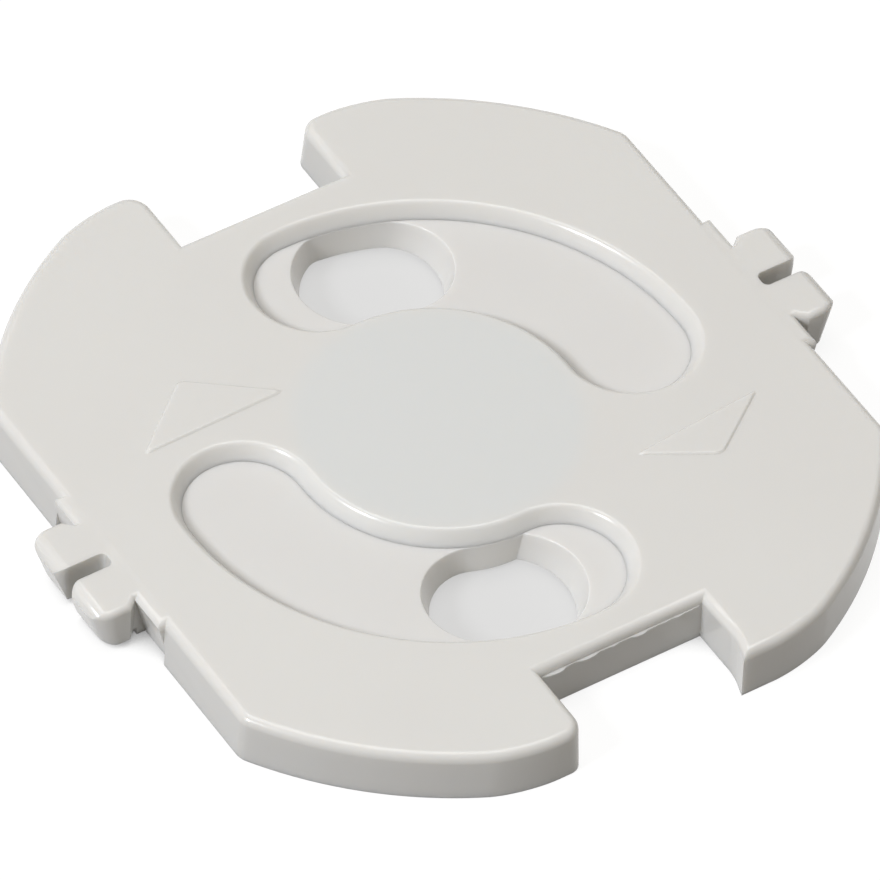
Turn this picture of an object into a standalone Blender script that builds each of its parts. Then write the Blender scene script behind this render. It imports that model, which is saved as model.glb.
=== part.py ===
# Twist-to-open safety cover for a round recessed wall socket.
# A keyed cover plate drops into the socket's well, and a shutter disc turns in a pocket on its back.
# Metres, +Z up. z = 0 is the underside, +X runs through the grip tabs and +Y through the notches.

import math

import bpy
import bmesh
from mathutils import Matrix

# Cover plate: the widths of its ring and of its flats' walls are measured out from the disc's pocket
RING_WIDTH = 0.006025
PLATE_HEIGHT = 0.00245
WALL_DRAFT = 0.00015
FLAT_WALL = 0.003075
FLAT_CORNER_RADIUS = 0.0010
EDGE_RADIUS = 0.0004

# Pin slots through the plate's skin, a little outside the 9.5 mm circle that the plug's pins stand on
SLOT_CIRCLE_RADIUS = 0.0096
SLOT_WIDTH = 0.0056
SLOT_CLOSED_ANGLE = 91.0
SLOT_OPEN_ANGLE = -1.5
SKIN_THICKNESS = 0.0005

# Shutter disc and its two windows, in degrees at rest
WINDOW_WIDTH = 0.00505
WINDOW_ROUND_END_ANGLE = 69.0
WINDOW_BLUNT_END_ANGLE = 95.0
WINDOW_OUTER_CORNER_RADIUS = 0.0024
WINDOW_INNER_CORNER_RADIUS = 0.0013
DISC_RIM_WIDTH = 0.0008
DISC_BACK_GAP = 0.0002
DISC_EDGE_CHAMFER = 0.0002
RIM_CLEARANCE = 0.0003
FACE_CLEARANCE = 0.0002

# Notches for the socket's two earth clips, and the wing ends beside them
NOTCH_WIDTH = 0.0082
NOTCH_WALL = 0.00105
WING_END_CUT = 0.0013
WING_EASE_RADIUS = 0.0085
BLUNT_TIP_RADIUS = 0.0015
SHARP_TIP_RADIUS = 0.0009

# Grip tabs, two on each flat, that lean inwards so that they lead into the well
TAB_OFFSET = -0.0003
PAD_OFFSET = -0.00015
PAD_RISE = 0.00035
PAD_WIDTH = 0.0085
PAD_LEAN = 0.0006
PAD_RELIEF_MARGIN = 0.00015
NECK_LENGTH = 0.00045
NECK_WIDTH = 0.0049
HEAD_LENGTH = 0.0016
HEAD_SPAN = 0.0057
HEAD_LEAN = 0.0008
HEAD_CORNER_RADIUS = 0.0008
TAB_SLOT_WIDTH = 0.0008
TAB_SLOT_DEPTH = 0.00225
TAB_SLOT_MOUTH_RADIUS = 0.0004
TAB_UNDERCUT = 0.0004
TAB_DROP = 0.00004
TAB_EDGE_RADIUS = 0.00025

# Snap pivot under the centre of the plate
PIVOT_RADIUS = 0.0025
PIVOT_CLEARANCE = 0.00015
PIVOT_HEAD_OVERHANG = 0.0006
PIVOT_HEAD_HEIGHT = 0.00045
PIVOT_HEAD_CHAMFER = 0.0003
PIVOT_SLIT_WIDTH = 0.0006
PIVOT_ROOT_HEIGHT = 0.0004

# Stops: a pair of lugs on the disc's rim runs in a pair of bays in the pocket's wall
LUG_WIDTH = 0.0020
LUG_REACH = 0.0009
LUG_HEIGHT = 0.0008
LUG_SETBACK = 0.0001

# Smoothness of the round shapes
FULL_TURN_STEPS = 120
SMALL_ROUND_STEPS = 48
SMALL_RADIUS = 0.0045
EDGE_ROUND_STEPS = 2
SMOOTH_ANGLE = 35.0
FILLET_SHARE = 0.45
WELD_DISTANCE = 0.000001

# Sizes that follow from the ones above
disc_radius = SLOT_CIRCLE_RADIUS + WINDOW_WIDTH / 2 + DISC_RIM_WIDTH
disc_top = PLATE_HEIGHT - SKIN_THICKNESS - FACE_CLEARANCE
pocket_radius = disc_radius + RIM_CLEARANCE
pocket_top = PLATE_HEIGHT - SKIN_THICKNESS
plate_radius = pocket_radius + RING_WIDTH
flat_distance = pocket_radius + FLAT_WALL
notch_distance = pocket_radius + NOTCH_WALL
wing_end_distance = plate_radius - WING_END_CUT
pad_distance = flat_distance + PAD_RISE
head_back = pad_distance + NECK_LENGTH
head_tip = head_back + HEAD_LENGTH
bore_radius = PIVOT_RADIUS + PIVOT_CLEARANCE
head_radius = bore_radius + PIVOT_HEAD_OVERHANG
head_top = DISC_BACK_GAP + PIVOT_HEAD_HEIGHT
counterbore_top = head_top + FACE_CLEARANCE
lug_radius = disc_radius + LUG_REACH
lug_top = DISC_BACK_GAP + LUG_HEIGHT
lug_half_angle = math.degrees(LUG_WIDTH / 2 / disc_radius)
slot_end_reach = math.degrees(math.asin(SLOT_WIDTH / 2 / SLOT_CIRCLE_RADIUS))
open_turn = SLOT_OPEN_ANGLE - WINDOW_ROUND_END_ANGLE
closed_turn = SLOT_CLOSED_ANGLE + slot_end_reach - WINDOW_BLUNT_END_ANGLE
lug_rest_angle = -(open_turn + closed_turn) / 2
bay_half_angle = (closed_turn - open_turn) / 2 + lug_half_angle + math.degrees(RIM_CLEARANCE / disc_radius)
overshoot = PLATE_HEIGHT


# Scene and materials

def clear_scene():
    for item in list(bpy.data.objects):
        bpy.data.objects.remove(item, do_unlink=True)


def make_collection(name):
    collection = bpy.data.collections.new(name)
    bpy.context.scene.collection.children.link(collection)
    return collection


def moulded_plastic(name, colour, roughness):
    material = bpy.data.materials.new(name)
    material.use_nodes = True
    shader = material.node_tree.nodes["Principled BSDF"]
    shader.inputs["Base Color"].default_value = (*colour, 1.0)
    shader.inputs["Roughness"].default_value = roughness
    shader.inputs["Metallic"].default_value = 0.0
    return material


# Outlines: lists of (x, y) points, counterclockwise

def polar(radius, angle):
    return (radius * math.cos(math.radians(angle)), radius * math.sin(math.radians(angle)))


def arc(centre, radius, start, end):
    turn_steps = FULL_TURN_STEPS if radius > SMALL_RADIUS else SMALL_ROUND_STEPS
    count = max(2, round(abs(end - start) / 360 * turn_steps))
    step = (end - start) / count
    offsets = [polar(radius, start + step * i) for i in range(count + 1)]
    return [(centre[0] + x, centre[1] + y) for x, y in offsets]


def turned(points, angle):
    c, s = polar(1.0, angle)
    return [(x * c - y * s, x * s + y * c) for x, y in points]


def rounded(before, corner, after, radius):
    # the arc of the given radius that takes the place of a corner between two straight sides
    ax, ay = before[0] - corner[0], before[1] - corner[1]
    bx, by = after[0] - corner[0], after[1] - corner[1]
    a_length, b_length = math.hypot(ax, ay), math.hypot(bx, by)
    ax, ay, bx, by = ax / a_length, ay / a_length, bx / b_length, by / b_length
    half = math.acos(max(-1.0, min(1.0, ax * bx + ay * by))) / 2
    reach = min(radius / math.tan(half), FILLET_SHARE * a_length, FILLET_SHARE * b_length)
    radius = reach * math.tan(half)
    middle = math.hypot(ax + bx, ay + by)
    distance = radius / math.sin(half)
    centre = (corner[0] + (ax + bx) / middle * distance, corner[1] + (ay + by) / middle * distance)
    start = math.degrees(math.atan2(corner[1] + ay * reach - centre[1], corner[0] + ax * reach - centre[0]))
    end = math.degrees(math.atan2(corner[1] + by * reach - centre[1], corner[0] + bx * reach - centre[0]))
    while end - start > 180:
        end -= 360
    while end - start < -180:
        end += 360
    return arc(centre, radius, start, end)


def polygon(corners):
    # corners are (x, y, radius), and a radius of 0 leaves a sharp corner
    points = []
    for i, (x, y, radius) in enumerate(corners):
        if radius == 0:
            points.append((x, y))
        else:
            before = corners[i - 1]
            after = corners[(i + 1) % len(corners)]
            points += rounded(before[:2], (x, y), after[:2], radius)
    return points


def band(inner, outer, start, end):
    return arc((0, 0), outer, start, end) + arc((0, 0), inner, end, start)


def slot_outline():
    # a bean-shaped slot with round ends on the slot circle
    half = SLOT_WIDTH / 2
    first, last = SLOT_OPEN_ANGLE, SLOT_CLOSED_ANGLE
    outer = arc((0, 0), SLOT_CIRCLE_RADIUS + half, first, last)
    closed_end = arc(polar(SLOT_CIRCLE_RADIUS, last), half, last, last + 180)
    inner = arc((0, 0), SLOT_CIRCLE_RADIUS - half, last, first)
    open_end = arc(polar(SLOT_CIRCLE_RADIUS, first), half, first - 180, first)
    return outer + closed_end[1:] + inner[1:] + open_end[1:-1]


def window_outline():
    # round at the end that the pin pushes on, and blunter at the other, with a smaller inner corner
    half = WINDOW_WIDTH / 2
    inner, outer = SLOT_CIRCLE_RADIUS - half, SLOT_CIRCLE_RADIUS + half
    first, last = WINDOW_ROUND_END_ANGLE, WINDOW_BLUNT_END_ANGLE
    outer_corner, inner_corner = WINDOW_OUTER_CORNER_RADIUS, WINDOW_INNER_CORNER_RADIUS
    outer_angle = last - math.degrees(math.asin(outer_corner / (outer - outer_corner)))
    inner_angle = last - math.degrees(math.asin(inner_corner / (inner + inner_corner)))
    points = arc((0, 0), outer, first, outer_angle)
    points += arc(polar(outer - outer_corner, outer_angle), outer_corner, outer_angle, last + 90)[1:]
    points += arc(polar(inner + inner_corner, inner_angle), inner_corner, last + 90, inner_angle + 180)
    points += arc((0, 0), inner, inner_angle, first)[1:]
    points += arc(polar(SLOT_CIRCLE_RADIUS, first), half, first - 180, first)[1:-1]
    return points


def wing_end(tip_radius):
    # from the circle over the eased end of a wing to the notch's sharp inner corner, in the first quadrant
    half = NOTCH_WIDTH / 2
    meet_x = math.sqrt(plate_radius ** 2 - wing_end_distance ** 2)
    meet_angle = math.degrees(math.atan2(wing_end_distance, meet_x))
    ease_reach = WING_EASE_RADIUS * math.tan(math.radians(90 - meet_angle) / 2)
    lead = math.degrees(ease_reach / plate_radius)
    before = polar(plate_radius, meet_angle - lead)
    corner = (meet_x, wing_end_distance)
    tip = (half, wing_end_distance)
    after = ((meet_x + half) / 2, wing_end_distance)
    points = rounded(before, corner, after, WING_EASE_RADIUS)
    points += rounded(after, tip, (half, notch_distance), tip_radius)
    return points + [(half, notch_distance)], meet_angle - lead


def mirrored(points):
    return [(x, -y) for x, y in reversed(points)]


def plate_outline():
    # the right half, from the lower notch up to the upper one, and the same half turned about the centre
    upper, upper_angle = wing_end(BLUNT_TIP_RADIUS)
    lower, lower_angle = wing_end(SHARP_TIP_RADIUS)
    flat_y = math.sqrt(plate_radius ** 2 - flat_distance ** 2)
    flat_angle = math.degrees(math.atan2(flat_y, flat_distance))
    lead = math.degrees(FLAT_CORNER_RADIUS / plate_radius)
    ease = rounded((flat_distance, 0), (flat_distance, flat_y), polar(plate_radius, flat_angle + lead),
                   FLAT_CORNER_RADIUS)
    arc_start = flat_angle + lead
    pad_low, pad_high = PAD_OFFSET - PAD_WIDTH / 2, PAD_OFFSET + PAD_WIDTH / 2
    half = mirrored(lower)
    half += arc((0, 0), plate_radius, -lower_angle, -arc_start)[1:]
    half += mirrored(ease)
    half += [(flat_distance, pad_low), (pad_distance, pad_low), (pad_distance, pad_high), (flat_distance, pad_high)]
    half += ease
    half += arc((0, 0), plate_radius, arc_start, upper_angle)[:-1]
    half += upper
    return half + turned(half, 180)


def tab_outline():
    # a neck and a wider head on the right flat, rooted under the plate's rounded edge
    root = flat_distance - EDGE_RADIUS - 2 * TAB_EDGE_RADIUS
    neck, head = NECK_WIDTH / 2, HEAD_SPAN / 2
    corners = [
        (root, -neck, 0),
        (head_back, -neck, 0),
        (head_back, -head, 0),
        (head_tip, -head, HEAD_CORNER_RADIUS),
        (head_tip, head, HEAD_CORNER_RADIUS),
        (head_back, head, 0),
        (head_back, neck, 0),
        (root, neck, 0),
    ]
    return [(x, y + TAB_OFFSET) for x, y in polygon(corners)]


def tab_slot_outline():
    # the gap between the two tabs of a pair, with a mouth that rounds their corners
    half, mouth = TAB_SLOT_WIDTH / 2, TAB_SLOT_MOUTH_RADIUS
    slot_end, far = head_tip - TAB_SLOT_DEPTH, head_tip + overshoot
    points = [(slot_end, half), (slot_end, -half)]
    points += arc((head_tip - mouth, -half - mouth), mouth, 90, 0)
    points += [(far, -half - mouth), (far, half + mouth)]
    points += arc((head_tip - mouth, half + mouth), mouth, 360, 270)
    return [(x, y + TAB_OFFSET) for x, y in points]


# Solids

def new_object(name, mesh, collection):
    item = bpy.data.objects.new(name, mesh)
    collection.objects.link(item)
    return item


def flat_solid(name, outlines, low, high, collection, edge_radius=0.0):
    # outlines filled and extruded between two heights, with both rims rounded where a radius is given
    curve = bpy.data.curves.new(name, "CURVE")
    curve.dimensions = "2D"
    curve.fill_mode = "BOTH"
    curve.extrude = (high - low) / 2 - edge_radius
    curve.bevel_depth = edge_radius
    curve.bevel_resolution = EDGE_ROUND_STEPS
    curve.offset = -edge_radius
    for points in outlines:
        spline = curve.splines.new("POLY")
        spline.points.add(len(points) - 1)
        for point, (x, y) in zip(spline.points, points):
            point.co = (x, y, 0.0, 1.0)
        spline.use_cyclic_u = True
    outline = new_object(name + "_outline", curve, collection)
    outline.location.z = (low + high) / 2
    bpy.context.view_layer.update()
    mesh = bpy.data.meshes.new_from_object(outline.evaluated_get(bpy.context.evaluated_depsgraph_get()))
    mesh.transform(outline.matrix_world)
    bpy.data.objects.remove(outline)
    shape = bmesh.new()
    shape.from_mesh(mesh)
    bmesh.ops.remove_doubles(shape, verts=shape.verts, dist=WELD_DISTANCE)
    bmesh.ops.recalc_face_normals(shape, faces=shape.faces)
    shape.to_mesh(mesh)
    shape.free()
    mesh.name = name
    mesh.shade_flat()
    return new_object(name, mesh, collection)


def turned_solid(name, profile, collection):
    # a profile of (radius, height) points that runs down its outer side, spun about Z
    mesh = bpy.data.meshes.new(name)
    edges = [(i, i + 1) for i in range(len(profile) - 1)]
    mesh.from_pydata([(radius, 0.0, height) for radius, height in profile], edges, [])
    item = new_object(name, mesh, collection)
    screw = item.modifiers.new("Turn", "SCREW")
    screw.steps = SMALL_ROUND_STEPS
    screw.render_steps = SMALL_ROUND_STEPS
    screw.use_merge_vertices = True
    screw.merge_threshold = WELD_DISTANCE
    screw.use_normal_calculate = True
    return item


def cylinder(name, radius, low, high, collection, steps=FULL_TURN_STEPS):
    bpy.ops.mesh.primitive_cylinder_add(vertices=steps, radius=radius, depth=high - low)
    item = adopt(name, collection)
    item.data.transform(Matrix.Translation((0, 0, (low + high) / 2)))
    return item


def box(name, size, centre, collection):
    bpy.ops.mesh.primitive_cube_add(size=1.0)
    item = adopt(name, collection)
    item.data.transform(Matrix.Translation(centre) @ Matrix.Diagonal((*size, 1.0)))
    return item


def adopt(name, collection):
    # names the primitive that was just added and moves it to its collection
    item = bpy.context.active_object
    item.name = name
    item.data.name = name
    for home in list(item.users_collection):
        home.objects.unlink(item)
    collection.objects.link(item)
    return item


def half_turn_copy(item, collection):
    copy = new_object(item.name + "_opposite", item.data, collection)
    copy.rotation_euler.z = math.pi
    return copy


def hide_cutter(item):
    item.hide_render = True
    item.display_type = "WIRE"


def combine(item, operation, tools):
    for tool in tools:
        step = item.modifiers.new(tool.name, "BOOLEAN")
        step.operation = operation
        step.solver = "EXACT"
        step.object = tool
        hide_cutter(tool)


def set_smooth(item):
    item.data.shade_smooth()
    item.data.set_sharp_from_angle(angle=math.radians(SMOOTH_ANGLE))


# Pieces

def lean(mesh, start, length, amount):
    # slopes a face in towards the underside: all of the amount at start + length, and nothing at start
    for vertex in mesh.vertices:
        share = max(0.0, (vertex.co.x - start) / length)
        vertex.co.x -= amount * share * (PLATE_HEIGHT - vertex.co.z) / PLATE_HEIGHT


def draft_wall(mesh):
    # the outer wall stands a little further out at the underside than at the top
    for vertex in mesh.vertices:
        depth = max(0.0, PLATE_HEIGHT - EDGE_RADIUS - vertex.co.z)
        gain = 1.0 + WALL_DRAFT / plate_radius * depth / (PLATE_HEIGHT - EDGE_RADIUS)
        vertex.co.x *= gain
        vertex.co.y *= gain


def build_cover_plate(parts, cutters, material):
    slot = slot_outline()
    outlines = [plate_outline(), list(reversed(slot)), list(reversed(turned(slot, 180)))]
    plate = flat_solid("cover_plate", outlines, -overshoot, PLATE_HEIGHT, parts, EDGE_RADIUS)
    draft_wall(plate.data)

    wide = 2 * plate_radius
    tall = 2 * (PLATE_HEIGHT + overshoot)
    relief_width = PAD_WIDTH + 2 * PAD_RELIEF_MARGIN
    relief = box("pad_relief", (wide, relief_width, tall), (pad_distance + wide / 2, PAD_OFFSET, 0), cutters)
    for vertex in relief.data.vertices:
        vertex.co.x -= PAD_LEAN * (PLATE_HEIGHT - vertex.co.z) / PLATE_HEIGHT
    combine(plate, "DIFFERENCE", [relief, half_turn_copy(relief, cutters)])

    tabs = flat_solid("grip_tabs", [tab_outline()], -overshoot / 2, PLATE_HEIGHT - TAB_DROP, cutters,
                      TAB_EDGE_RADIUS)
    lean(tabs.data, head_back, HEAD_LENGTH, HEAD_LEAN)
    combine(plate, "UNION", [tabs, half_turn_copy(tabs, cutters)])

    floor = box("floor_cut", (2 * wide, 2 * wide, 2 * overshoot), (0, 0, -overshoot), cutters)
    undercut_x = flat_distance + WALL_DRAFT + wide / 2
    undercut = box("tab_undercut", (wide, relief_width, 2 * TAB_UNDERCUT), (undercut_x, PAD_OFFSET, 0), cutters)
    tab_slot = flat_solid("tab_slot", [tab_slot_outline()], -overshoot, PLATE_HEIGHT + overshoot, cutters)
    pocket = cylinder("disc_pocket", pocket_radius, -overshoot, pocket_top, cutters)
    bay_points = band(pocket_radius - RIM_CLEARANCE, lug_radius + RIM_CLEARANCE, -bay_half_angle, bay_half_angle)
    bay = flat_solid("stop_bay", [bay_points], -overshoot, lug_top + FACE_CLEARANCE, cutters)
    cuts = [floor, pocket]
    for cut in (undercut, tab_slot, bay):
        cuts += [cut, half_turn_copy(cut, cutters)]
    combine(plate, "DIFFERENCE", cuts)

    pivot_profile = [
        (0.0, pocket_top + SKIN_THICKNESS / 2),
        (PIVOT_RADIUS, pocket_top + SKIN_THICKNESS / 2),
        (PIVOT_RADIUS, head_top),
        (head_radius, head_top),
        (head_radius, head_top - (PIVOT_HEAD_HEIGHT - PIVOT_HEAD_CHAMFER)),
        (head_radius - PIVOT_HEAD_CHAMFER, DISC_BACK_GAP),
        (0.0, DISC_BACK_GAP),
    ]
    pivot = turned_solid("snap_pivot", pivot_profile, cutters)
    combine(plate, "UNION", [pivot])
    slit_top = pocket_top - PIVOT_ROOT_HEIGHT
    slit_centre = (0, 0, (slit_top - overshoot) / 2)
    slit_height = slit_top + overshoot
    slit_length = 2 * (head_radius + PIVOT_SLIT_WIDTH)
    slit_x = box("pivot_slit_x", (slit_length, PIVOT_SLIT_WIDTH, slit_height), slit_centre, cutters)
    slit_y = box("pivot_slit_y", (PIVOT_SLIT_WIDTH, slit_length, slit_height), slit_centre, cutters)
    combine(plate, "DIFFERENCE", [slit_x, slit_y])
    plate.data.materials.append(material)
    set_smooth(plate)
    return plate


def build_shutter_disc(parts, cutters, material):
    disc = cylinder("shutter_disc", disc_radius, DISC_BACK_GAP, disc_top, parts)
    set_smooth(disc)
    chamfer = disc.modifiers.new("Rim chamfer", "BEVEL")
    chamfer.width = DISC_EDGE_CHAMFER
    chamfer.segments = 1
    chamfer.limit_method = "ANGLE"
    lug_start = lug_rest_angle - lug_half_angle
    lug_end = lug_rest_angle + lug_half_angle
    lug_points = band(disc_radius - LUG_REACH, lug_radius, lug_start, lug_end)
    lug = flat_solid("stop_lug", [lug_points], DISC_BACK_GAP + LUG_SETBACK, lug_top, cutters)
    combine(disc, "UNION", [lug, half_turn_copy(lug, cutters)])

    window = flat_solid("pin_window", [window_outline()], -overshoot, PLATE_HEIGHT, cutters)
    bore = cylinder("pivot_bore", bore_radius, -overshoot, PLATE_HEIGHT, cutters, steps=SMALL_ROUND_STEPS)
    counterbore = cylinder("head_recess", head_radius + PIVOT_CLEARANCE, -overshoot, counterbore_top, cutters,
                           steps=SMALL_ROUND_STEPS)
    combine(disc, "DIFFERENCE", [window, half_turn_copy(window, cutters), bore, counterbore])
    disc.data.materials.append(material)
    return disc


def build():
    clear_scene()
    parts = make_collection("socket_safety_cover")
    cutters = make_collection("cutters")
    plate_plastic = moulded_plastic("warm_white_plastic", (0.76, 0.75, 0.71), 0.38)
    disc_plastic = moulded_plastic("white_plastic", (0.77, 0.76, 0.73), 0.42)
    build_cover_plate(parts, cutters, plate_plastic)
    build_shutter_disc(parts, cutters, disc_plastic)


build()
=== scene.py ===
import math

import bpy
import bmesh
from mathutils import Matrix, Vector


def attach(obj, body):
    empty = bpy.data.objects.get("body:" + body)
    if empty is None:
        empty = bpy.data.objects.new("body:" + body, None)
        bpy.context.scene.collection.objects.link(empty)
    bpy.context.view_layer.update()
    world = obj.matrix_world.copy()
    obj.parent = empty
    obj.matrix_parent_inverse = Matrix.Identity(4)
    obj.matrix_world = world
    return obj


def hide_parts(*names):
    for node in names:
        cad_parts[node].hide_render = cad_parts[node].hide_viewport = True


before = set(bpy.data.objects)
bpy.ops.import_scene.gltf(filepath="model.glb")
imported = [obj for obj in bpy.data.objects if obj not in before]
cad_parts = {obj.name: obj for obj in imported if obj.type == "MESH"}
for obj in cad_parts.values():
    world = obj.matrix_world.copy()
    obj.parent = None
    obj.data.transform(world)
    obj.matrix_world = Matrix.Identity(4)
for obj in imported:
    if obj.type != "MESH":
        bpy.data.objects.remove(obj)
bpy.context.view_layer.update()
mm = 0.001
weld = 0.002          # mm, points closer than this are one point
hair = 0.001          # mm, keeps two faces out of one plane

# ---- working in edit mode


def deselectAll():
    if bpy.context.object and bpy.context.object.mode == "EDIT":
        bpy.ops.object.mode_set(mode="OBJECT")
    bpy.ops.object.select_all(action="DESELECT")


def workOn(piece):
    deselectAll()
    piece.select_set(True)
    bpy.context.view_layer.objects.active = piece
    bpy.ops.object.mode_set(mode="EDIT")
    bpy.ops.mesh.select_mode(type="VERT")


def chooseWhere(kind, test):
    # selects the vertices, edges or faces of the open piece whose middle, in mm, passes the test
    bpy.ops.mesh.select_all(action="DESELECT")
    bpy.ops.mesh.select_mode(type=kind)
    mesh = bmesh.from_edit_mesh(bpy.context.object.data)
    for item in {"VERT": mesh.verts, "EDGE": mesh.edges, "FACE": mesh.faces}[kind]:
        if kind == "VERT":
            middle, normal = item.co, item.normal
        elif kind == "EDGE":
            middle, normal = (item.verts[0].co + item.verts[1].co) / 2, item.verts[1].co - item.verts[0].co
        else:
            middle, normal = item.calc_center_median(), item.normal
        item.select_set(bool(test(middle / mm, normal)))
    mesh.select_flush_mode()
    bmesh.update_edit_mesh(bpy.context.object.data)


def polar(radius, angle):
    return radius * math.cos(math.radians(angle)), radius * math.sin(math.radians(angle))


def halfTurned(strokes):
    return [(kind, -x, -y, *rest) for kind, x, y, *rest in strokes]


def drawOutline(name, height, start, strokes):
    # drawn point by point, in mm, as lines to (x, y) and arcs about (x, y), then filled
    deselectAll()
    bpy.ops.mesh.primitive_plane_add(size=mm)
    shape = bpy.context.object
    shape.name = shape.data.name = name
    bpy.ops.object.mode_set(mode="EDIT")
    bpy.ops.mesh.select_mode(type="VERT")
    bpy.ops.mesh.select_all(action="SELECT")
    bpy.ops.mesh.merge(type="CENTER")
    bpy.ops.transform.translate(value=(start[0] * mm, start[1] * mm, height * mm))
    x, y = start
    for kind, px, py, *turn in strokes:
        if kind == "line":
            step = ((px - x) * mm, (py - y) * mm, 0)
            bpy.ops.mesh.extrude_region_move(TRANSFORM_OT_translate={"value": step})
            x, y = px, py
        else:
            radius = math.hypot(x - px, y - py)
            sweep = math.radians(turn[0])
            count = max(3, round(abs(turn[0]) / 7.5), round(abs(sweep) * radius / 0.3))
            # with no window the spin turns clockwise
            bpy.ops.mesh.spin(steps=count, angle=-sweep, center=(px * mm, py * mm, height * mm), axis=(0, 0, 1))
            c, s = math.cos(sweep), math.sin(sweep)
            x, y = px + (x - px) * c - (y - py) * s, py + (x - px) * s + (y - py) * c
    bpy.ops.mesh.select_all(action="SELECT")
    bpy.ops.mesh.remove_doubles(threshold=weld * mm)
    bpy.ops.mesh.edge_face_add()
    return shape


def faceUp():
    # the drawn face looks up, so that it is raised along its normal
    mesh = bmesh.from_edit_mesh(bpy.context.object.data)
    mesh.normal_update()
    if any(face.normal.z < 0 for face in mesh.faces):
        bpy.ops.mesh.select_all(action="SELECT")
        bpy.ops.mesh.flip_normals()


def roundCorners(corners, segments=12):
    # each corner is (x, y, how far along its sides the round starts)
    for x, y, reach in corners:
        chooseWhere("VERT", lambda p, n: math.hypot(p.x - x, p.y - y) < 0.01)
        bpy.ops.mesh.bevel(offset=reach * mm, segments=segments, affect="VERTICES", profile=0.5)


def lift(height, scale=1.0):
    # raises the whole drawn face into a closed solid
    bpy.ops.mesh.select_mode(type="FACE")
    bpy.ops.mesh.select_all(action="SELECT")
    bpy.ops.mesh.extrude_region_move(TRANSFORM_OT_translate={"value": (0, 0, height * mm)})
    if scale != 1.0:
        bpy.ops.transform.resize(value=(scale, scale, 1.0), center_override=(0, 0, 0))


def insetRings(rings):
    # the chosen face shrinks by each (inward, along its normal) pair in turn
    for inward, along in rings:
        bpy.ops.mesh.inset(thickness=inward * mm, depth=along * mm, use_even_offset=True)


def roundRings(radius, steps=6):
    # from a wall over a convex round to a flat face
    points = [(radius * (1 - math.cos(math.pi / 2 * i / steps)), radius * math.sin(math.pi / 2 * i / steps))
              for i in range(steps + 1)]
    return [(b[0] - a[0], b[1] - a[1]) for a, b in zip(points, points[1:])]


def flareRings(radius, steps=6):
    # the same round as a cutter leaves it at the mouth of a hole, from the face down into the wall
    points = [(radius * math.sin(math.pi / 2 * i / steps), radius * (1 - math.cos(math.pi / 2 * i / steps)))
              for i in range(steps + 1)]
    return [(b[0] - a[0], b[1] - a[1]) for a, b in zip(points, points[1:])]


def closeSolid():
    bpy.ops.mesh.select_mode(type="VERT")
    bpy.ops.mesh.select_all(action="SELECT")
    bpy.ops.mesh.remove_doubles(threshold=weld * mm)
    bpy.ops.mesh.select_all(action="SELECT")
    bpy.ops.mesh.normals_make_consistent(inside=False)
    deselectAll()


def addBlock(name, low, high):
    deselectAll()
    centre = [(a + b) / 2 * mm for a, b in zip(low, high)]
    bpy.ops.mesh.primitive_cube_add(size=1.0, location=centre)
    block = bpy.context.object
    block.name = block.data.name = name
    block.scale = [(b - a) * mm for a, b in zip(low, high)]
    bpy.ops.object.transform_apply(location=True, rotation=True, scale=True)
    return block


def addRound(name, radius, low, high, vertices=128):
    deselectAll()
    bpy.ops.mesh.primitive_cylinder_add(vertices=vertices, radius=radius * mm, depth=(high - low) * mm,
                                        location=(0, 0, (low + high) / 2 * mm))
    drum = bpy.context.object
    drum.name = drum.data.name = name
    bpy.ops.object.transform_apply(location=True, rotation=True, scale=True)
    return drum


def oppositeCopy(piece):
    # the copy on the other side, half a turn round the middle
    deselectAll()
    piece.select_set(True)
    bpy.context.view_layer.objects.active = piece
    bpy.ops.object.duplicate()
    copy = bpy.context.object
    bpy.ops.object.mode_set(mode="EDIT")
    bpy.ops.mesh.select_all(action="SELECT")
    bpy.ops.transform.rotate(value=math.pi, orient_axis="Z", center_override=(0, 0, 0))
    deselectAll()
    return copy


def combine(piece, operation, tools):
    for tool in tools:
        deselectAll()
        piece.select_set(True)
        bpy.context.view_layer.objects.active = piece
        bpy.ops.object.modifier_add(type="BOOLEAN")
        step = piece.modifiers[-1]
        step.operation = operation
        step.solver = "EXACT"
        step.object = tool
        bpy.ops.object.modifier_apply(modifier=step.name)
        bpy.data.objects.remove(tool)


def finishPiece(piece, material, angle=35):
    workOn(piece)
    bpy.ops.mesh.select_all(action="SELECT")
    bpy.ops.mesh.remove_doubles(threshold=weld / 2 * mm)
    bpy.ops.mesh.select_all(action="SELECT")
    bpy.ops.mesh.dissolve_degenerate(threshold=weld / 4 * mm)
    deselectAll()
    piece.select_set(True)
    bpy.context.view_layer.objects.active = piece
    bpy.ops.object.shade_smooth_by_angle(angle=math.radians(angle))
    bpy.ops.object.modifier_add(type="WEIGHTED_NORMAL")
    piece.modifiers[-1].keep_sharp = True
    piece.modifiers[-1].weight = 80
    bpy.ops.object.modifier_apply(modifier=piece.modifiers[-1].name)
    piece.data.materials.clear()
    piece.data.materials.append(material)


# ---- materials


def linear(hexCode):
    parts = [int(hexCode[i:i + 2], 16) / 255 for i in (0, 2, 4)]
    return (*[p / 12.92 if p <= 0.04045 else ((p + 0.055) / 1.055) ** 2.4 for p in parts], 1.0)


def addNode(tree, kind, settings=None, values=None, links=None):
    node = tree.nodes.new(kind)
    for key, value in (settings or {}).items():
        setattr(node, key, value)
    for key, value in (values or {}).items():
        node.inputs[key].default_value = value
    for key, source in (links or {}).items():
        tree.links.new(source, node.inputs[key])
    return node


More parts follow.
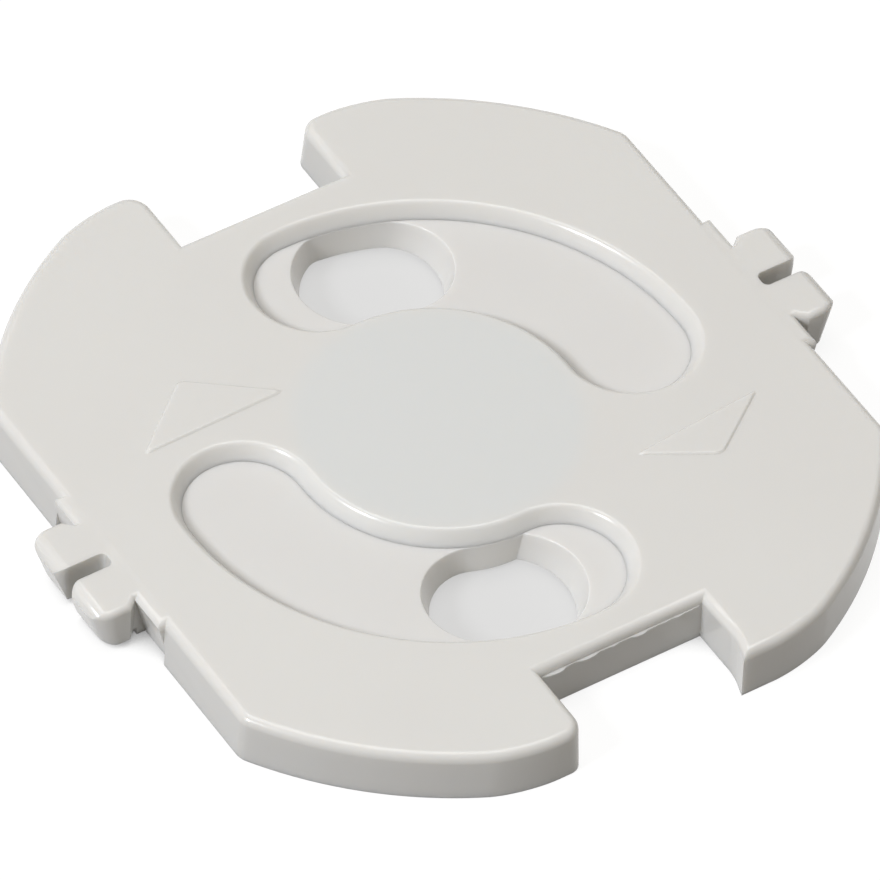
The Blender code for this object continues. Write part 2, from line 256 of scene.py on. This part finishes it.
# injection-moulded ABS with a finely eroded tool surface: a soft broad sheen and a faint unevenness, and light
# that goes a little way into the plastic, which keeps its small walls and edges pale and warm. Lengths are in mm.
# The tool's real grain is about 0.03 mm, too fine to show, so it is drawn four times as coarse.
absPlastic = {
    "plateHex": "E3E3E0", "plateShadeHex": "DFDEDB", "discHex": "E3E3E1", "discShadeHex": "DFDEDC",
    "hubHex": "DEE0DF", "hubRadius": 6.1, "hubBlend": 1.3, "roughness": 0.22, "ior": 1.53,
    "cloudSize": 9.0, "grainSize": 0.12, "grainDepth": 0.0012, "waveSize": 3.0, "waveDepth": 0.006,
    "scatterShare": 0.6, "scatterDepth": 0.6, "scatterRgb": (1.0, 0.93, 0.84),
}


def mouldedAbs(name, hexCode, shadeHex, hubHex=None):
    look = absPlastic
    material = bpy.data.materials.new(name)
    material.use_nodes = True
    tree = material.node_tree
    shader = tree.nodes["Principled BSDF"]
    place = addNode(tree, "ShaderNodeTexCoord").outputs["Object"]
    cloud = addNode(tree, "ShaderNodeTexNoise", values={"Scale": 1 / (look["cloudSize"] * mm), "Detail": 3.0},
                    links={"Vector": place})
    tint = addNode(tree, "ShaderNodeMix", {"data_type": "RGBA"}, {"A": linear(hexCode), "B": linear(shadeHex)},
                   {"Factor": cloud.outputs["Fac"]})
    grain = addNode(tree, "ShaderNodeTexNoise", values={"Scale": 1 / (look["grainSize"] * mm), "Detail": 2.0},
                    links={"Vector": place})
    wave = addNode(tree, "ShaderNodeTexNoise", values={"Scale": 1 / (look["waveSize"] * mm), "Detail": 1.0},
                   links={"Vector": place})
    relief = addNode(tree, "ShaderNodeBump", values={"Strength": 1.0, "Distance": look["waveDepth"] * mm},
                     links={"Height": wave.outputs["Fac"]})
    bump = addNode(tree, "ShaderNodeBump", values={"Strength": 1.0, "Distance": look["grainDepth"] * mm},
                   links={"Height": grain.outputs["Fac"], "Normal": relief.outputs["Normal"]})
    if hubHex:
        # the thin skin over the pivot looks a little cooler
        away = addNode(tree, "ShaderNodeVectorMath", {"operation": "LENGTH"}, links={0: place})
        hub = addNode(tree, "ShaderNodeMapRange", {"interpolation_type": "SMOOTHSTEP"},
                      {"From Min": look["hubRadius"] * mm, "From Max": (look["hubRadius"] + look["hubBlend"]) * mm,
                       "To Min": 1.0, "To Max": 0.0}, {"Value": away.outputs["Value"]})
        tint = addNode(tree, "ShaderNodeMix", {"data_type": "RGBA"}, {"B": linear(hubHex)},
                       {"A": tint.outputs[2], "Factor": hub.outputs[0]})
    tree.links.new(tint.outputs[2], shader.inputs["Base Color"])
    tree.links.new(bump.outputs["Normal"], shader.inputs["Normal"])
    shader.inputs["Roughness"].default_value = look["roughness"]
    shader.inputs["IOR"].default_value = look["ior"]
    shader.inputs["Subsurface Weight"].default_value = look["scatterShare"]
    shader.inputs["Subsurface Scale"].default_value = look["scatterDepth"] * mm
    shader.inputs["Subsurface Radius"].default_value = look["scatterRgb"]
    return material


platePlastic = mouldedAbs("mouldedAbsWarmWhite", absPlastic["plateHex"], absPlastic["plateShadeHex"],
                          absPlastic["hubHex"])
discPlastic = mouldedAbs("mouldedAbsWhite", absPlastic["discHex"], absPlastic["discShadeHex"])
print("materials ready")

# ---- cover plate, all in mm

plate = {
    "height": 2.45, "radius": 19.25, "wallGain": 0.07, "edgeRound": 0.42, "flat": 16.3, "flatCornerReach": 0.3,
    "notchHalf": 4.1, "notchFloor": 14.275, "wingEnd": 17.95, "wingReach": 1.59, "wingRoundShare": 0.97,
    # wing tips: two round ones with a smaller foot, a sharper one, and one with an upright lip
    "bluntTip": 0.92, "footShare": 0.72, "sharpTip": 1.05, "lip": 0.33, "lipRun": 1.05, "lipBend": 0.4,
    "skinBottom": 1.76, "pocket": 13.225, "pocketMouth": 0.2, "outside": 24,
    "pinSlot": {
        "circle": 9.6, "half": 3.32, "first": -1.5, "last": 91.0,
        # (inward, down) steps of the wall, from the soft edge into a straight slope
        "wall": [(0.06, 0.006), (0.06, 0.02), (0.05, 0.033), (0.05, 0.05), (0.05, 0.061), (0.36, 0.52), (0.01, 0.02)],
    },
    "pad": {"root": 15.0, "low": -4.4, "high": 4.1, "front": 16.65, "lean": 0.62, "margin": 0.15},
    "tab": {
        "offset": -0.25, "root": 15.0, "neckHalf": 2.45, "neckEnd": 16.6, "back": 17.05, "half": 2.85, "tip": 18.75,
        "foot": 0.6, "corner": 0.95, "edgeRound": 0.3, "endRound": 0.7, "lean": 0.75,
        "slotHalf": 0.4, "slotEnd": 16.4, "slotEndRound": 0.7, "slotOut": 21, "mouth": 0.65, "under": 0.4,
    },
    # raised three-cornered marks that show which way to turn; they start just below the top face
    "mark": {
        "slope": [(0.03, 0.03), (0.03, 0.03), (0.03, 0.022), (0.03, 0.008)], "corner": 0.35,
        "root": 0.2, "sunk": 0.004,
        "left": [(-8.55, 7.45), (-12.15, 4.45), (-4.8, 4.6)], "right": [(9.35, -7.95), (12.8, -5.5), (6.0, -6.05)],
    },
    # a thin ragged flash along the lower notch's upper edge, as (x, how far it stands out)
    "flash": {
        "low": 1.9, "high": 2.0, "root": 0.2,
        "edge": [
            (-3.98, 0.06), (-3.7, 0.12), (-3.3, 0.17), (-2.95, 0.14), (-2.8, 0.05), (-2.3, 0.03), (-1.95, 0.12),
            (-1.7, 0.15), (-1.3, 0.11), (-1.15, 0.05), (-0.6, 0.06), (-0.4, 0.1), (-0.1, 0.04), (0.5, 0.05),
            (0.75, 0.13), (1.05, 0.15), (1.3, 0.07), (1.9, 0.05), (2.2, 0.08), (2.6, 0.04), (2.8, 0.1), (3.1, 0.06),
            (3.6, 0.05), (3.98, 0.02),
        ],
    },
    "pivot": {
        "radius": 2.5, "head": 3.25, "headTop": 0.65, "headBottom": 0.2, "chamfer": 0.3, "slit": 0.3, "slitTop": 1.55,
    },
    "bay": {"inner": 12.925, "outer": 14.125, "halfAngle": 47.5, "top": 1.2},
}
pinSlot, pad, tab, mark, flash, pivot, bay = (
    plate[part] for part in ("pinSlot", "pad", "tab", "mark", "flash", "pivot", "bay"))


def slotCutter():
    half, circle = pinSlot["half"], pinSlot["circle"]
    first, last = pinSlot["first"], pinSlot["last"]
    top = plate["height"]
    sweep = last - first
    strokes = [
        ("arc", 0, 0, sweep),
        ("arc", *polar(circle, last), 180),
        ("arc", 0, 0, -sweep),
        ("arc", *polar(circle, first), 180),
    ]
    cutter = drawOutline("pinSlot", top + 1, polar(circle + half, first), strokes)
    faceUp()
    lift(-1)
    chooseWhere("FACE", lambda p, n: abs(p.z - top) < 0.01)
    bpy.ops.mesh.normals_make_consistent(inside=False)
    insetRings(pinSlot["wall"] + [(hair, 1.0)])
    closeSolid()
    return cutter


def buildPlate():
    radius, wing, half = plate["radius"], plate["wingEnd"], plate["notchHalf"]
    meetX = math.sqrt(radius ** 2 - wing ** 2)
    lead = math.degrees(plate["wingReach"] / radius)
    wingAngle = math.degrees(math.atan2(wing, meetX)) - lead
    flatY = math.sqrt(radius ** 2 - plate["flat"] ** 2)
    flatAngle = math.degrees(math.atan2(flatY, plate["flat"]))
    # one wing tip ends in a thin upright lip that stands out into the notch
    bend = plate["lipRun"] - wing
    right = [
        ("line", half, bend),
        ("line", half - plate["lip"], -wing),
        ("line", meetX, -wing),
        ("line", *polar(radius, -wingAngle)),
        ("arc", 0, 0, wingAngle - flatAngle),
        ("line", plate["flat"], flatY),
        ("arc", 0, 0, wingAngle - flatAngle),
        ("line", meetX, wing),
        ("line", half, wing),
        ("line", half, plate["notchFloor"]),
        ("line", -half, plate["notchFloor"]),
    ]
    left = halfTurned([("line", half, -wing)] + right[2:])
    shell = drawOutline("coverPlateShell", 0, (half, -plate["notchFloor"]), right + left)
    faceUp()
    corners = [(half, bend, plate["lipBend"]), (-half, wing, plate["sharpTip"])]
    for side in (1, -1):
        corners += [
            (side * meetX, side * wing, plate["wingReach"] * plate["wingRoundShare"]),
            (side * meetX, -side * wing, plate["wingReach"] * plate["wingRoundShare"]),
            (side * half, side * wing, plate["bluntTip"]),
            (side * plate["flat"], side * flatY, plate["flatCornerReach"]),
            (side * plate["flat"], -side * flatY, plate["flatCornerReach"]),
        ]
    roundCorners(corners)
    gain = 1 + plate["wallGain"] / radius
    bpy.ops.mesh.select_all(action="SELECT")
    bpy.ops.transform.resize(value=(gain, gain, 1), center_override=(0, 0, 0))
    lift(plate["height"] - plate["edgeRound"], 1 / gain)
    # the round tips are less round at the underside
    for x, y, reach in corners:
        if reach == plate["bluntTip"]:
            near = (reach + 0.05) * gain
            chooseWhere("VERT", lambda p, n: p.z < 0.01 and math.hypot(p.x - x * gain, p.y - y * gain) < near)
            bpy.ops.transform.resize(value=(plate["footShare"], plate["footShare"], 1),
                                     center_override=(x * gain * mm, y * gain * mm, 0))
    chooseWhere("FACE", lambda p, n: p.z > plate["height"] - plate["edgeRound"] - 0.01 and n.z > 0.9)
    insetRings(roundRings(plate["edgeRound"]))
    closeSolid()
    return shell


def buildPads(shell):
    block = drawOutline("gripPad", -1, (pad["root"], pad["low"]), [
        ("line", pad["front"], pad["low"]), ("line", pad["front"], pad["high"]), ("line", pad["root"], pad["high"]),
        ("line", pad["root"], pad["low"])])
    faceUp()
    lift(1 + plate["height"] - hair - plate["edgeRound"])
    insetRings(roundRings(plate["edgeRound"]))
    closeSolid()
    below, above = -2, 5
    relief = addBlock("padRelief", (pad["front"], pad["low"] - pad["margin"], below),
                      (plate["outside"], pad["high"] + pad["margin"], above))
    workOn(relief)
    # the pads lean in towards the underside
    slope = pad["lean"] / plate["height"]
    chooseWhere("VERT", lambda p, n: p.x < plate["radius"] and p.z < 0)
    bpy.ops.transform.translate(value=(-slope * (plate["height"] - below) * mm, 0, 0))
    chooseWhere("VERT", lambda p, n: p.x < plate["radius"] and p.z > 0)
    bpy.ops.transform.translate(value=(slope * (above - plate["height"]) * mm, 0, 0))
    deselectAll()
    combine(shell, "UNION", [oppositeCopy(block), block])
    combine(shell, "DIFFERENCE", [oppositeCopy(relief), relief])


def buildTabs(shell):
    low, high, off = -tab["half"], tab["half"], tab["offset"]
    neck, root, back, tip = tab["neckHalf"], tab["root"], tab["back"], tab["tip"]
    foot = tab["foot"]
    block = drawOutline("gripTab", -foot, (root, off - neck), [
        ("line", tab["neckEnd"], off - neck), ("line", back, off + low), ("line", tip, off + low),
        ("line", tip, off + high), ("line", back, off + high), ("line", tab["neckEnd"], off + neck),
        ("line", root, off + neck), ("line", root, off - neck)])
    faceUp()
    roundCorners([(tip, off + low, tab["corner"]), (tip, off + high, tab["corner"])])
    lift(foot + plate["height"] - 2 * hair - tab["edgeRound"])
    insetRings(roundRings(tab["edgeRound"]))
    # the heads lean in towards the underside
    chooseWhere("VERT", lambda p, n: p.x > back + 0.01 and p.z < 0)
    slope = tab["lean"] * (plate["height"] + foot) / plate["height"]
    bpy.ops.transform.resize(value=(1 - slope / (tip - back), 1, 1), center_override=(back * mm, 0, 0))
    closeSolid()
    # the heads' outer ends roll over in a wide round
    height, roll = plate["height"], tab["endRound"]
    over = drawOutline("endRelief", -5, (tip - roll, height), [
        ("arc", tip - roll, height - roll, -90), ("line", tip + 2, height - roll), ("line", tip + 2, height + 1),
        ("line", tip - roll, height + 1), ("line", tip - roll, height)])
    faceUp()
    lift(10)
    closeSolid()
    over.rotation_euler = (math.pi / 2, 0, 0)
    over.select_set(True)
    bpy.context.view_layer.objects.active = over
    bpy.ops.object.transform_apply(location=True, rotation=True, scale=True)
    combine(block, "DIFFERENCE", [over])
    combine(shell, "UNION", [oppositeCopy(block), block])

    slotHalf, mouth, end = tab["slotHalf"], tab["mouth"], tab["slotEnd"]
    gap = drawOutline("tabSlot", -1, (end, off - slotHalf), [
        ("line", tip - mouth, off - slotHalf), ("arc", tip - mouth, off - slotHalf - mouth, -90),
        ("line", tab["slotOut"], off - slotHalf - mouth), ("line", tab["slotOut"], off + slotHalf + mouth),
        ("line", tip, off + slotHalf + mouth), ("arc", tip - mouth, off + slotHalf + mouth, -90),
        ("line", end, off + slotHalf), ("line", end, off - slotHalf)])
    faceUp()
    reach = slotHalf * tab["slotEndRound"]
    roundCorners([(end, off - slotHalf, reach), (end, off + slotHalf, reach)], 6)
    lift(5)
    closeSolid()
    margin = pad["margin"]
    under = addBlock("tabUndercut", (plate["flat"] + margin, pad["low"] - margin, -1),
                     (plate["outside"], pad["high"] + margin, tab["under"]))
    combine(shell, "DIFFERENCE", [oppositeCopy(gap), gap, oppositeCopy(under), under])


def buildMarks(shell):
    for name in ("left", "right"):
        points = mark[name]
        badge = drawOutline("turnMark", plate["height"] - mark["root"], points[0],
                            [("line", *p) for p in points[1:] + points[:1]])
        faceUp()
        roundCorners([(*p, mark["corner"]) for p in points], 6)
        lift(mark["root"] - mark["sunk"])
        # the slopes close in on the point that is equally far from all three sides
        sides = [math.dist(points[i - 2], points[i - 1]) for i in range(3)]
        middle = [sum(side * point[k] for side, point in zip(sides, points)) / sum(sides) * mm for k in (0, 1)]
        (ax, ay), (bx, by), (cx, cy) = points
        left = abs((bx - ax) * (cy - ay) - (cx - ax) * (by - ay)) / sum(sides)
        for inward, up in mark["slope"]:
            shrink = (left - inward) / left
            bpy.ops.mesh.extrude_region_move(TRANSFORM_OT_translate={"value": (0, 0, up * mm)})
            bpy.ops.transform.resize(value=(shrink, shrink, 1), center_override=(*middle, 0))
            left -= inward
        closeSolid()
        combine(shell, "UNION", [badge])


def buildFlash(shell):
    floor, edge = -plate["notchFloor"], flash["edge"]
    first, last = (edge[0][0], floor + flash["root"]), (edge[-1][0], floor + flash["root"])
    fringe = drawOutline("notchFlash", flash["low"], first,
                         [("line", x, floor - out) for x, out in edge] + [("line", *last), ("line", *first)])
    faceUp()
    lift(flash["high"] - flash["low"])
    closeSolid()
    combine(shell, "UNION", [fringe])


def buildUnderside(shell):
    combine(shell, "DIFFERENCE", [addBlock("floorCut", (-30, -30, -5), (30, 30, 0))])
    mouth = plate["pocketMouth"]
    pocket = addRound("discPocket", plate["pocket"] + mouth, -1, 0, 256)
    workOn(pocket)
    chooseWhere("FACE", lambda p, n: p.z > -0.01 and n.z > 0.9)
    insetRings([(mouth, mouth)])
    bpy.ops.mesh.extrude_region_move(TRANSFORM_OT_translate={"value": (0, 0, (plate["skinBottom"] - mouth) * mm)})
    closeSolid()
    inner, outer, reach = bay["inner"], bay["outer"], bay["halfAngle"]
    room = drawOutline("stopBay", -1, polar(outer, -reach), [
        ("arc", 0, 0, 2 * reach), ("line", *polar(inner, reach)), ("arc", 0, 0, -2 * reach),
        ("line", *polar(outer, -reach))])
    faceUp()
    lift(1 + bay["top"])
    closeSolid()
    combine(pocket, "UNION", [oppositeCopy(room), room])
    combine(shell, "DIFFERENCE", [pocket])

    post = addRound("pivotPost", pivot["radius"], pivot["headTop"] - 0.1, plate["skinBottom"] + 0.2, 96)
    head = addRound("pivotHead", pivot["head"], pivot["headBottom"], pivot["headTop"], 96)
    workOn(head)
    chooseWhere("EDGE", lambda p, n: p.z < pivot["headBottom"] + 0.01)
    bpy.ops.mesh.bevel(offset=pivot["chamfer"] * mm, segments=3, affect="EDGES", profile=0.5)
    deselectAll()
    combine(head, "UNION", [post])
    reach = pivot["head"] + 0.6
    combine(head, "DIFFERENCE", [
        addBlock("slitX", (-reach, -pivot["slit"], -1), (reach, pivot["slit"], pivot["slitTop"])),
        addBlock("slitY", (-pivot["slit"], -reach, -1), (pivot["slit"], reach, pivot["slitTop"]))])
    combine(shell, "UNION", [head])


shell = buildPlate()
print("plate drawn", len(shell.data.polygons))
buildPads(shell)
buildTabs(shell)
print("pads and tabs", len(shell.data.polygons))
slotRight = slotCutter()
combine(shell, "DIFFERENCE", [oppositeCopy(slotRight), slotRight])
buildMarks(shell)
buildFlash(shell)
buildUnderside(shell)
finishPiece(shell, platePlastic)
print("plate done", len(shell.data.polygons))

# ---- shutter disc, all in mm

disc = {
    "radius": 12.925, "bottom": 0.2, "top": 1.75, "rimRound": 0.2, "bore": 2.65, "recess": 3.4, "recessTop": 0.85,
    "window": {
        "circle": 9.6, "half": 2.66, "roundEnd": 69.0, "outerCorner": 0.7, "lip": 0.06, "middle": 74.5,
        "narrow": 0.875, "bluntCircle": 9.55, "bluntAngle": 78.2, "bluntRadius": 3.0,
    },
    "lug": {"reach": 0.9, "halfAngle": 4.43, "turn": 28.8, "low": 0.3, "high": 1.0},
}
window, lug = disc["window"], disc["lug"]


def windowCutter():
    # one end is round; the other bulges, meets the inner side in a crisp corner and the outer side in a round
    turn = 90 - window["middle"]
    grow = window["lip"]
    inner, outer = window["circle"] - window["half"] - grow, window["circle"] + window["half"] + grow
    first = window["roundEnd"] + turn
    away, heading, bulge = window["bluntCircle"], window["bluntAngle"] + turn, window["bluntRadius"] + grow
    bluntMiddle = polar(away, heading)

    def meet(radius):
        spread = math.acos((radius ** 2 + away ** 2 - bulge ** 2) / (2 * radius * away))
        angle = heading + math.degrees(spread)
        x, y = polar(radius, angle)
        return angle, (x, y), math.degrees(math.atan2(y - bluntMiddle[1], x - bluntMiddle[0])) % 360

    outerAngle, outerPoint, outerLook = meet(outer)
    innerAngle, innerPoint, innerLook = meet(inner)
    cutter = drawOutline("pinWindow", disc["top"] + 1, polar(outer, first), [
        ("arc", 0, 0, outerAngle - first),
        ("arc", *bluntMiddle, innerLook - outerLook),
        ("arc", 0, 0, first - innerAngle),
        ("arc", *polar(window["circle"], first), 180),
    ])
    faceUp()
    roundCorners([(*outerPoint, window["outerCorner"])])
    lift(-1)
    chooseWhere("FACE", lambda p, n: abs(p.z - disc["top"]) < 0.01)
    bpy.ops.mesh.normals_make_consistent(inside=False)
    depth = disc["top"] - disc["bottom"] - grow
    insetRings(flareRings(grow, 3) + [(hair / 10, depth + 0.01)])
    # both ends slope in towards the back
    bpy.ops.transform.resize(value=(window["narrow"], 1, 1), center_override=(0, 0, 0))
    insetRings([(hair / 10, 1.0)])
    closeSolid()
    cutter.rotation_euler = (0, 0, math.radians(-turn))
    bpy.context.view_layer.objects.active = cutter
    cutter.select_set(True)
    bpy.ops.object.transform_apply(location=True, rotation=True, scale=True)
    return cutter


def buildDisc():
    shutter = addRound("shutterDiscShell", disc["radius"], disc["bottom"], disc["top"], 256)
    workOn(shutter)
    chooseWhere("FACE", lambda p, n: abs(n.z) > 0.9)
    bpy.ops.mesh.bevel(offset=disc["rimRound"] * mm, segments=4, affect="EDGES", profile=0.5)
    deselectAll()
    outer, inner = disc["radius"] + lug["reach"], disc["radius"] - 1
    start, end = lug["turn"] - lug["halfAngle"], lug["turn"] + lug["halfAngle"]
    stop = drawOutline("stopLug", lug["low"], polar(outer, start), [
        ("arc", 0, 0, end - start), ("line", *polar(inner, end)), ("arc", 0, 0, start - end),
        ("line", *polar(outer, start))])
    faceUp()
    lift(lug["high"] - lug["low"])
    closeSolid()
    combine(shutter, "UNION", [oppositeCopy(stop), stop])
    cutter = windowCutter()
    bore = addRound("bore", disc["bore"], -1, 3, 96)
    recess = addRound("headRecess", disc["recess"], -1, disc["recessTop"], 96)
    combine(shutter, "DIFFERENCE", [oppositeCopy(cutter), cutter, bore, recess])
    return shutter


shutter = buildDisc()
finishPiece(shutter, discPlastic)
print("disc done", len(shutter.data.polygons))

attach(shell, "cover")
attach(shutter, "shutter")
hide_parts("cover_plate")
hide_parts("shutter_disc")

# ---- table top

# card: what the camera and reflections see, and what it throws back on to the part, outside and inside the part's
# rim. What the camera sees is lifted to white by a glow. The glow is weaker inside the rim, which paints the shade on
# the floor seen through the windows, and it fades near the part's walls, which paints a contact shadow round the part
ground = {
    "size": 1200, "seenHex": "6E6E6D", "throwHex": "6E6D6B", "innerThrowHex": "D9D8D4", "whiteLift": 0.88,
    "innerShadedLift": 0.56, "innerRadius": 13.2, "outerRadius": 14.0, "shadeReach": 3.5, "openFrom": 0.4,
}


def tableMaterial():
    # matt white card: the camera and reflections see it lifted to white by a glow; the lower lift where the part
    # closes it in is painted shade
    material = bpy.data.materials.new("mattWhiteCard")
    material.use_nodes = True
    tree = material.node_tree
    shader = tree.nodes["Principled BSDF"]
    shader.inputs["Roughness"].default_value = 0.9
    place = addNode(tree, "ShaderNodeTexCoord").outputs["Object"]
    away = addNode(tree, "ShaderNodeVectorMath", {"operation": "LENGTH"}, links={0: place})
    # mask for the painted shade under the part: 0 inside the part's rim, 1 outside it
    outside = addNode(tree, "ShaderNodeMapRange", values={"From Min": ground["innerRadius"] * mm,
                                                          "From Max": ground["outerRadius"] * mm},
                      links={"Value": away.outputs["Value"]})
    path = addNode(tree, "ShaderNodeLightPath")
    seen = addNode(tree, "ShaderNodeMath", {"operation": "ADD", "use_clamp": True},
                   links={0: path.outputs["Is Camera Ray"], 1: path.outputs["Is Glossy Ray"]})
    seenThrough = addNode(tree, "ShaderNodeMath", {"operation": "ADD", "use_clamp": True},
                          links={0: seen.outputs[0], 1: path.outputs["Is Transmission Ray"]})
    thrown = addNode(tree, "ShaderNodeMix", {"data_type": "RGBA"},
                     {"A": linear(ground["innerThrowHex"]), "B": linear(ground["throwHex"])},
                     {"Factor": outside.outputs[0]})
    colour = addNode(tree, "ShaderNodeMix", {"data_type": "RGBA"}, {"B": linear(ground["seenHex"])},
                     {"A": thrown.outputs[2], "Factor": seenThrough.outputs[0]})
    tree.links.new(colour.outputs[2], shader.inputs["Base Color"])
    # painted contact shadow: the lift to white fades where the part's walls close the floor in
    sky = addNode(tree, "ShaderNodeAmbientOcclusion", {"samples": 16}, {"Distance": ground["shadeReach"] * mm})
    contactShadedLift = addNode(tree, "ShaderNodeMapRange",
                     values={"From Max": ground["openFrom"], "To Max": ground["whiteLift"]},
                     links={"Value": sky.outputs["AO"]})
    # a weaker glow inside the rim paints the shade of the floor seen through the windows
    level = addNode(tree, "ShaderNodeMix", {"data_type": "FLOAT"}, {"A": ground["innerShadedLift"]},
                    {"B": contactShadedLift.outputs[0], "Factor": outside.outputs[0]})
    share = addNode(tree, "ShaderNodeMath", {"operation": "MULTIPLY"},
                    links={0: seenThrough.outputs[0], 1: level.outputs[0]})
    glow = addNode(tree, "ShaderNodeEmission", values={"Color": (1, 1, 1, 1)}, links={"Strength": share.outputs[0]})
    both = addNode(tree, "ShaderNodeAddShader", links={0: shader.outputs[0], 1: glow.outputs[0]})
    tree.links.new(both.outputs[0], tree.nodes["Material Output"].inputs["Surface"])
    return material


deselectAll()
bpy.ops.mesh.primitive_plane_add(size=ground["size"] * mm, location=(0, 0, -0.02 * mm))
table = bpy.context.object
table.name = "tableTop"
table.data.materials.append(tableMaterial())

# ---- light

lamps = {
    "keyLamp": {"place": (-490, -10, 411), "size": 140, "power": 2.38, "hex": "F8FAFF"},
    "overheadLamp": {"place": (60, 120, 620), "size": 420, "power": 1.5, "hex": "FFFFFF"},
}
worldLight = {"hex": "FFF7EC", "strength": 0.315}

for name, lamp in lamps.items():
    deselectAll()
    place = Vector(lamp["place"]) * mm
    bpy.ops.object.light_add(type="AREA", location=place)
    light = bpy.context.object
    light.name = name
    light.rotation_euler = place.to_track_quat("Z", "Y").to_euler()
    light.data.size = lamp["size"] * mm
    light.data.energy = lamp["power"]
    light.data.color = linear(lamp["hex"])[:3]

world = bpy.data.worlds.new("studio")
bpy.context.scene.world = world
world.use_nodes = True
backdrop = world.node_tree.nodes["Background"]
backdrop.inputs["Color"].default_value = linear(worldLight["hex"])
backdrop.inputs["Strength"].default_value = worldLight["strength"]

# ---- camera, at the photograph's viewing angle

lens = {"place": (-188.482, -264.858, 356.851), "turn": (42.34872, -2.60765, -32.59896), "focal": 459.834}
deselectAll()
bpy.ops.object.camera_add(location=Vector(lens["place"]) * mm, rotation=[math.radians(a) for a in lens["turn"]])
camera = bpy.context.object
camera.data.lens = lens["focal"]
camera.data.sensor_width = 36
camera.data.clip_start = 0.01
bpy.context.scene.camera = camera
bpy.context.scene.view_settings.view_transform = "Standard"
print("stage ready")
